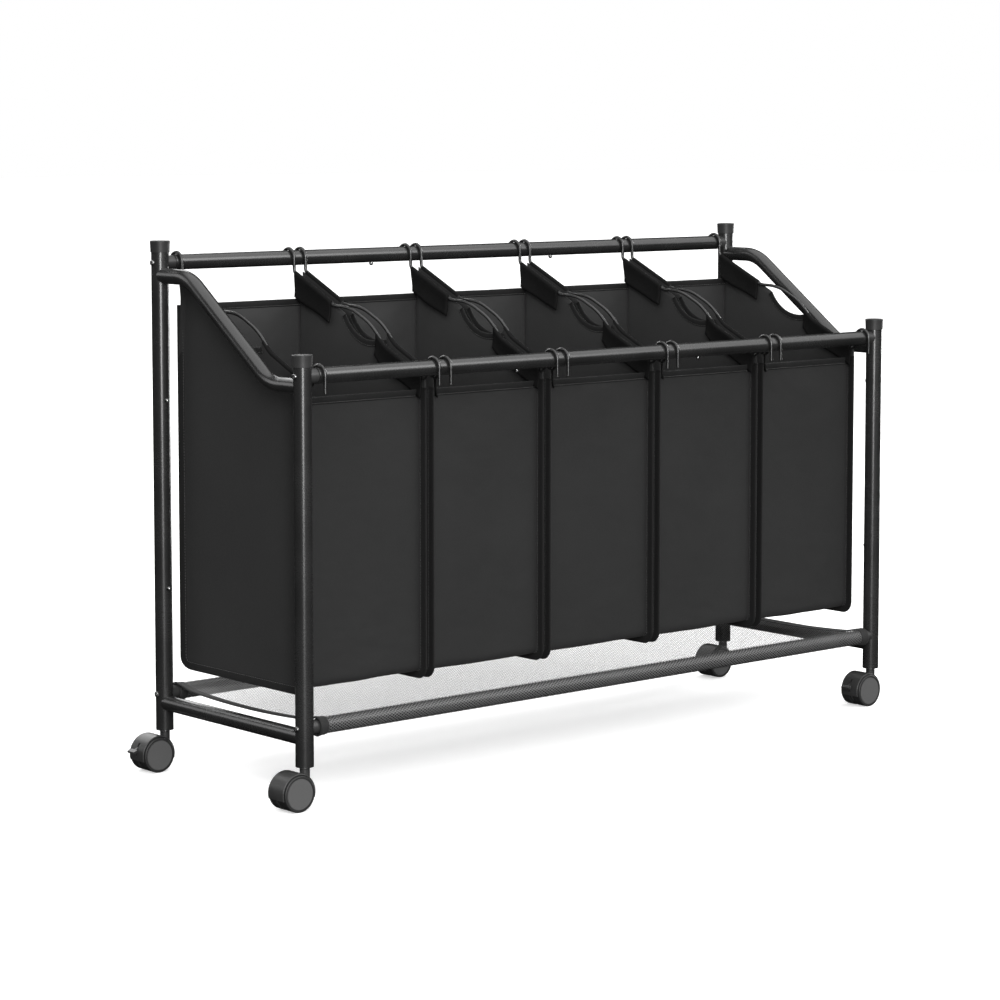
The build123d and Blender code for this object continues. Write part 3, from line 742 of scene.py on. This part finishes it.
# the strip's waves: height, and turns across and along it in radians a metre
STRIP_WAVES = ((0.0010, 0, 16), (0.0006, 27, 31), (0.0004, 58, -11))
HANG_FRAMES = 14
HANG = {
    "quality": 7,
    "mass": 0.12,
    "tension_stiffness": 60,
    "compression_stiffness": 60,
    "shear_stiffness": 30,
    "bending_stiffness": 6,
    "tension_damping": 20,
    "bending_damping": 3,
    "air_damping": 6,
    "use_pressure": True,
    "uniform_pressure_force": 0.35,
    "use_pressure_volume": False,
}


def strip_path():
    """The strip's line in (y, z): down the front, along the floor and up the back."""
    r = FLOOR_CORNER_R
    front, back, z = PANEL_FRONT_Y - CLOTH / 2, PANEL_BACK_Y + CLOTH / 2, FLOOR_Z + CLOTH / 2
    line = [(front, FRONT_TOP_Z - HEM_HEIGHT)]
    line += arc((front + r, z + r), r, 180, 270, 18)
    line += arc((back - r, z + r), r, 270, 360, 18)
    line += [(back, BACK_TOP_Z - HEM_HEIGHT)]
    return np.vstack([(front, FRONT_TOP_Z), resample(line, STRIP_STEP), (back, BACK_TOP_Z)])


def hang(obj, pinned):
    """Lets the cloth settle under its own weight, with pinned points held, and applies it."""
    group = obj.vertex_groups.new(name="sewn")
    group.add(pinned, 1.0, "REPLACE")
    cloth = obj.modifiers.new("hang", "CLOTH")
    for setting, value in HANG.items():
        setattr(cloth.settings, setting, value)
    cloth.settings.vertex_group_mass = "sewn"
    cloth.collision_settings.use_collision = False
    cloth.point_cache.frame_start = 1
    cloth.point_cache.frame_end = HANG_FRAMES
    scene = bpy.context.scene
    for number in range(1, HANG_FRAMES + 1):
        scene.frame_set(number)
    apply_modifiers(obj)
    scene.frame_set(1)


def strip(name, middle_x, seed):
    """Front, floor and back in one sheet. Returns the sheet and its grid of places."""
    path = strip_path()
    half = HALF_X - CLOTH - STRIP_GAP
    randoms = random.Random(seed)
    phases = [randoms.uniform(0, 6.28) for _ in STRIP_WAVES]
    run = lengths_along(path)
    normals = -inward_normals(path)
    points, uvs = [], []
    for c in range(STRIP_COLUMNS):
        share = c / (STRIP_COLUMNS - 1)
        x = -half + 2 * half * share
        bow = math.sin(math.pi * share)
        for r, (y, z) in enumerate(path):
            out = bow * sum(
                height * math.sin(across * x + along * run[r] + phase)
                for (height, across, along), phase in zip(STRIP_WAVES, phases)
            )
            points.append((middle_x + x, y + normals[r][0] * out, z + normals[r][1] * out))
            uvs.append((x, run[r]))
    rows = len(path)
    sheet = new_object(name, points, grid_faces(STRIP_COLUMNS, rows), PANEL, uvs)
    sewn = list(range(rows)) + list(range((STRIP_COLUMNS - 1) * rows, STRIP_COLUMNS * rows))
    hang(sheet, sewn)
    spots = np.array([v.co[:] for v in sheet.data.vertices]).reshape(STRIP_COLUMNS, rows, 3)
    smooth_out = sheet.modifiers.new("smooth", "SUBSURF")
    smooth_out.levels = 1
    apply_modifiers(sheet)
    thicken(sheet, CLOTH)
    line_inside_painted_light(sheet, middle_x)
    return sheet, spots


HEM_HALF = CLOTH / 2 + 0.0007  # half a turned hem's thickness
HEM_STITCH = 0.80  # how far down the hem its stitches run
HEM_BACK_UV = 0.03
# round the hem: how far down it, and how much of its half thickness out
HEM_SECTION = (
    (1.0, 0.6), (0.94, 1.0), (0.1, 1.0), (-0.06, 0.7), (-0.10, 0.0),
    (-0.06, -0.7), (0.1, -1.0), (0.94, -1.0), (1.0, -0.6),
)
# each hem: its name, the strip's top row and the one under it, and which way is out
HEMS = (("front", 0, 1, -1), ("back", -1, -2, 1))
EDGE_TAPE, EDGE_TAPE_THICK, EDGE_STITCH = 0.0125, 0.0027, 0.0105
HOLE_TAPE, HOLE_TAPE_THICK, HOLE_STITCH = 0.0090, 0.0026, 0.0072


def hem_band(name, top, under, out_sign):
    """The turned hem along the top of the front or back panel."""
    points, uvs = [], []
    for a, b in zip(top, under):
        for down, out in HEM_SECTION:
            spot = a + (b - a) * down
            points.append((spot[0], spot[1] + out_sign * out * HEM_HALF, spot[2]))
            uvs.append((a[0], down * HEM_HEIGHT + (HEM_BACK_UV if out < 0 else 0.0)))
    return new_object(name, points, grid_faces(len(top), len(HEM_SECTION)), BINDING, uvs)


def hem_lines(top, under):
    """A hem's two stitch lines, on its front and back faces."""
    lines = []
    for face in (-1, 1):
        place = top + (under - top) * HEM_STITCH
        place = place + np.array([0.0, face * HEM_HALF, 0.0])
        lines.append((place, np.tile([0.0, float(face), 0.0], (len(place), 1))))
    return lines


def side_tapes(name, panel_x, sign):
    """The tapes round a side panel's edge and its hand hole."""
    edge = resample(outline(), LINE_STEP)
    hole = hole_line()[::-1]
    return [
        binding(f"{name}_edge_binding", panel_x, sign, edge, EDGE_TAPE, EDGE_TAPE_THICK),
        binding(f"{name}_hand_hole_binding", panel_x, sign, hole, HOLE_TAPE, HOLE_TAPE_THICK),
    ]


def side_lines(panel_x, sign):
    """The stitch lines on both faces of a side panel's tapes."""
    lines = []
    for face in (-1, 1):
        edge_x = panel_x + face * EDGE_TAPE_THICK / 2
        hole_x = panel_x + face * HOLE_TAPE_THICK / 2
        lines.append(flat_line(edge_x, sign, outline(EDGE_STITCH), face))
        lines.append(flat_line(hole_x, sign, hole_line(HOLE_STITCH), face))
    return lines


def build_bag(number):
    """All of one bag's cloth, riding on its body in place of the CAD solid."""
    node = f"bag_{number}"
    low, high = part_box(node)
    middle_x = (low[0] + high[0]) / 2
    body = f"bag_body_{number}"
    cloth, trim, lines = [], [], []
    sheet, spots = strip(f"{node}_front_floor_back", middle_x, 11 * number)
    cloth.append(sheet)
    for place, top_row, under_row, out_sign in HEMS:
        top, under = spots[:, top_row], spots[:, under_row]
        trim.append(hem_band(f"{node}_{place}_hem", top, under, out_sign))
        lines += hem_lines(top, under)
    for side, sign in (("left", -1), ("right", 1)):
        seed = number * 1.7 + sign * 0.9
        panel_x = middle_x + sign * (HALF_X - CLOTH / 2)
        cloth.append(side_panel(f"{node}_{side}_panel", middle_x, sign, seed))
        trim += side_tapes(f"{node}_{side}", panel_x, sign)
        lines += side_lines(panel_x, sign)
    sewing = stitches(f"{node}_stitching", lines)
    bag = join(f"{node}_cloth", cloth)
    edges = join(f"{node}_binding", trim)
    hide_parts(node)
    for piece in (bag, edges, sewing):
        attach(piece, body)


for bag_number in range(1, BAGS + 1):
    build_bag(bag_number)


# ---- mesh shelf ----
SHELF_LIFT = 0.0007  # from a rail's surface to the shelf round it
LEAVES_DEG = 60  # where the shelf leaves a rail
WRAP_DEG = 335
SPAN_STEPS = 60
EDGE_SHARE = 0.09  # of the span, in which the shelf comes down to its edge height
HEM_INSET = 0.010  # how far under its hems the net begins
MESH_PITCH_X = 0.0062
MESH_PITCH_V = 0.0041
THREAD_W = 0.00110
THREAD_RISE = 0.00012
NET_LINE_STEP = 0.0005


def shelf_path():
    """The shelf's line in (y, z): round the front rail, across with a sag, and round the back rail."""
    r = RAIL_R + SHELF_LIFT
    front = arc((-POST_Y, SHELF_RAIL_Z), r, LEAVES_DEG + WRAP_DEG, LEAVES_DEG, 9)
    back = arc((POST_Y, SHELF_RAIL_Z), r, 180 - LEAVES_DEG, 180 - LEAVES_DEG - WRAP_DEG, 9)
    start, end = front[-1], back[0]
    across = []
    for i in range(1, SPAN_STEPS):
        share = i / SPAN_STEPS
        y = start[0] + (end[0] - start[0]) * share
        ease = smooth_step(min(share, 1 - share) / EDGE_SHARE)
        level = start[1] + (SHELF_EDGE_Z - start[1]) * ease
        across.append((y, level - SHELF_SAG * 4 * share * (1 - share)))
    return front + across + back


def flat_net(width, length):
    """The net laid flat: points (across, along, rise) of its ribbons' edges, and their faces."""
    columns = int(round(width / MESH_PITCH_X))
    steps = 2 * int(round(length / MESH_PITCH_V))
    pitch_x, step_v = width / columns, length / steps
    slant = math.hypot(pitch_x / 2, step_v)
    side_u = THREAD_W / 2 * step_v / slant
    side_v = THREAD_W / 2 * (pitch_x / 2) / slant
    flat, faces = [], []
    for lean in (1, -1):
        for column in range(-steps // 2 - 1, columns + steps // 2 + 2):
            previous = None
            for step in range(steps + 1):
                u = (column + lean * step / 2) * pitch_x
                if not -1e-9 <= u <= width + 1e-9:
                    previous = None
                    continue
                rise = THREAD_RISE * (1 if (step + column) % 2 else -1) * lean
                base = len(flat)
                for way in (-1, 1):
                    flat.append((u + way * side_u, step * step_v - way * lean * side_v, rise))
                if previous is not None:
                    faces.append((previous, previous + 1, base + 1, base))
                previous = base
    return np.array(flat), faces


def mesh_shelf():
    """The shelf's net: two families of slanting threads, flat ribbons that cross over and under."""
    line = resample(shelf_path(), NET_LINE_STEP)
    run = lengths_along(line)
    normals = inward_normals(line)
    x_start, x_end = MIDDLE_X - SHELF_HALF_X + HEM_INSET, MIDDLE_X + SHELF_HALF_X - HEM_INSET
    flat, faces = flat_net(x_end - x_start, run[-1])
    x = x_start + np.clip(flat[:, 0], 0, x_end - x_start)
    along = np.clip(flat[:, 1], 0, run[-1])
    y = np.interp(along, run, line[:, 0]) + flat[:, 2] * np.interp(along, run, normals[:, 0])
    z = np.interp(along, run, line[:, 1]) + flat[:, 2] * np.interp(along, run, normals[:, 1])
    return new_object("mesh_shelf_net", np.column_stack([x, y, z]), faces, MESH), run[-1]


# round a shelf hem: how far in from the shelf's end, and how far above the net
SHELF_HEM_SECTION = (
    (-0.0010, 0.0006), (-0.0006, 0.0018), (0.0008, 0.0024), (0.0026, 0.0021), (0.0040, 0.0013),
    (0.0120, 0.0011), (0.0136, 0.0006), (0.0136, 0.0001), (0.0110, -0.0004), (0.0008, -0.0004),
)


def shelf_hem(name, x_edge, inward):
    """A bound end of the shelf, wrapped with it round both rails."""
    line = resample(shelf_path(), LINE_STEP)
    normals = inward_normals(line)
    run = lengths_along(line)
    points, uvs = [], []
    for i, (spot, normal) in enumerate(zip(line, normals)):
        for inset, out in SHELF_HEM_SECTION:
            y, z = spot + normal * out
            points.append((x_edge + inward * inset, y, z))
            uvs.append((run[i], inset + (BACK_FACE_UV if out < 0 else 0)))
    return new_object(name, points, tube_faces(len(line), len(SHELF_HEM_SECTION)), SHELF_HEM, uvs)


net, shelf_cut = mesh_shelf()
hems = join("mesh_shelf_hems", [
    shelf_hem("left_hem", MIDDLE_X - SHELF_HALF_X, 1),
    shelf_hem("right_hem", MIDDLE_X + SHELF_HALF_X, -1),
])
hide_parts("mesh_shelf")
for piece in (net, hems):
    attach(piece, "frame")


# ---- floor, light and camera ----
WHITE = (1, 1, 1, 1)
WORLD_STRENGTH = 0.30
FLOOR_HALF = 40.0
FLOOR_GLOW = 0.42
DOME_R = 60.0
SKY_ENERGY = 3.2
SKY_ANGLE = 125
SKY_TILT, SKY_TURN = 27, -4
# each softbox: its name, place, target, width, height and power
SOFTBOXES = (
    ("strip", (-3.0, -4.3, 1.7), (0, 0, 0.4), 1.2, 3.4, 185),
    ("rail_light", (2.4, -3.6, 3.0), (0, 0, 0.6), 1.6, 2.2, 34),
    ("rim", (5.0, 0.8, 1.2), (0, 0, 0.4), 0.9, 3.0, 110),
    ("back_fill", (1.0, 5.6, 3.2), (0, 0, 0.4), 5.0, 3.0, 160),
    ("left_rim", (-4.2, 4.8, 2.6), (0, 0, 0.4), 2.4, 2.8, 34),
)
CAMERA_PLACE = (-2.954 + MIDDLE_X, -3.332, 0.917)
CAMERA_YAW, CAMERA_PITCH = 40.85, 5.27
CAMERA_LENS = 107.7
CAMERA_SHIFT = -0.10


def dim_world():
    """Even, dim white light from all round, which doesn't show in reflections."""
    world = bpy.data.worlds.new("studio")
    bpy.context.scene.world = world
    world.use_nodes = True
    background = world.node_tree.nodes["Background"]
    background.inputs["Color"].default_value = WHITE
    background.inputs["Strength"].default_value = WORLD_STRENGTH
    world.cycles_visibility.glossy = False


def floor_material():
    n = Nodes("pale_floor")
    colour = n.mix(n.noise(3, 2), grey(0.90), grey(0.93))
    return n.finish(
        colour, 0.9, Specular_IOR_Level=0.1, Emission_Color=WHITE, Emission_Strength=FLOOR_GLOW,
    )


def pale_floor():
    """A floor that glows a little, and throws no light of its own at the object."""
    corners = [(-1, -1), (1, -1), (1, 1), (-1, 1)]
    places = [(FLOOR_HALF * a, FLOOR_HALF * b, 0) for a, b in corners]
    floor = new_object("floor", places, [(0, 1, 2, 3)], floor_material())
    floor.visible_diffuse = False
    floor.visible_glossy = False
    return floor


def backdrop():
    """A plain white dome that is seen but casts no light."""
    shape = bmesh.new()
    bmesh.ops.create_uvsphere(shape, u_segments=48, v_segments=24, radius=DOME_R)
    mesh = bpy.data.meshes.new("backdrop")
    shape.to_mesh(mesh)
    shape.free()
    n = Nodes("plain_white")
    n.finish(grey(0.0), Emission_Color=WHITE, Emission_Strength=1.0, Specular_IOR_Level=0.0)
    mesh.materials.append(n.material)
    dome = bpy.data.objects.new("backdrop", mesh)
    bpy.context.scene.collection.objects.link(dome)
    for ray in ("diffuse", "glossy", "transmission", "volume_scatter", "shadow"):
        setattr(dome, f"visible_{ray}", False)
    return dome


def skylight():
    """The broad main light, from above and a little in front."""
    lamp = bpy.data.lights.new("skylight", "SUN")
    lamp.energy = SKY_ENERGY
    lamp.angle = math.radians(SKY_ANGLE)
    sky = bpy.data.objects.new("skylight", lamp)
    sky.rotation_euler = (math.radians(SKY_TILT), 0, math.radians(SKY_TURN))
    bpy.context.scene.collection.objects.link(sky)


def softbox(name, place, target, width, height, power):
    """A rectangular light at place that faces target."""
    lamp = bpy.data.lights.new(name, "AREA")
    lamp.shape = "RECTANGLE"
    lamp.size = width
    lamp.size_y = height
    lamp.energy = power
    obj = bpy.data.objects.new(name, lamp)
    obj.location = place
    obj.rotation_euler = (Vector(target) - Vector(place)).to_track_quat("-Z", "Y").to_euler()
    bpy.context.scene.collection.objects.link(obj)


def studio():
    """A white room: dim light all round, a broad skylight, softboxes and a pale floor."""
    bpy.context.scene.view_settings.view_transform = "Standard"
    dim_world()
    pale_floor()
    backdrop()
    skylight()
    for settings in SOFTBOXES:
        softbox(*settings)


def camera():
    """At the photograph's angle: seen from the front left, just above the bags."""
    yaw, pitch = math.radians(CAMERA_YAW), math.radians(CAMERA_PITCH)
    forward = Vector((math.sin(yaw) * math.cos(pitch), math.cos(yaw) * math.cos(pitch), -math.sin(pitch)))
    lens = bpy.data.cameras.new("camera")
    lens.sensor_width = 36
    lens.lens = CAMERA_LENS
    lens.shift_y = CAMERA_SHIFT
    eye = bpy.data.objects.new("camera", lens)
    eye.location = CAMERA_PLACE
    eye.rotation_euler = forward.to_track_quat("-Z", "Y").to_euler()
    bpy.context.scene.collection.objects.link(eye)
    bpy.context.scene.camera = eye


studio()
camera()
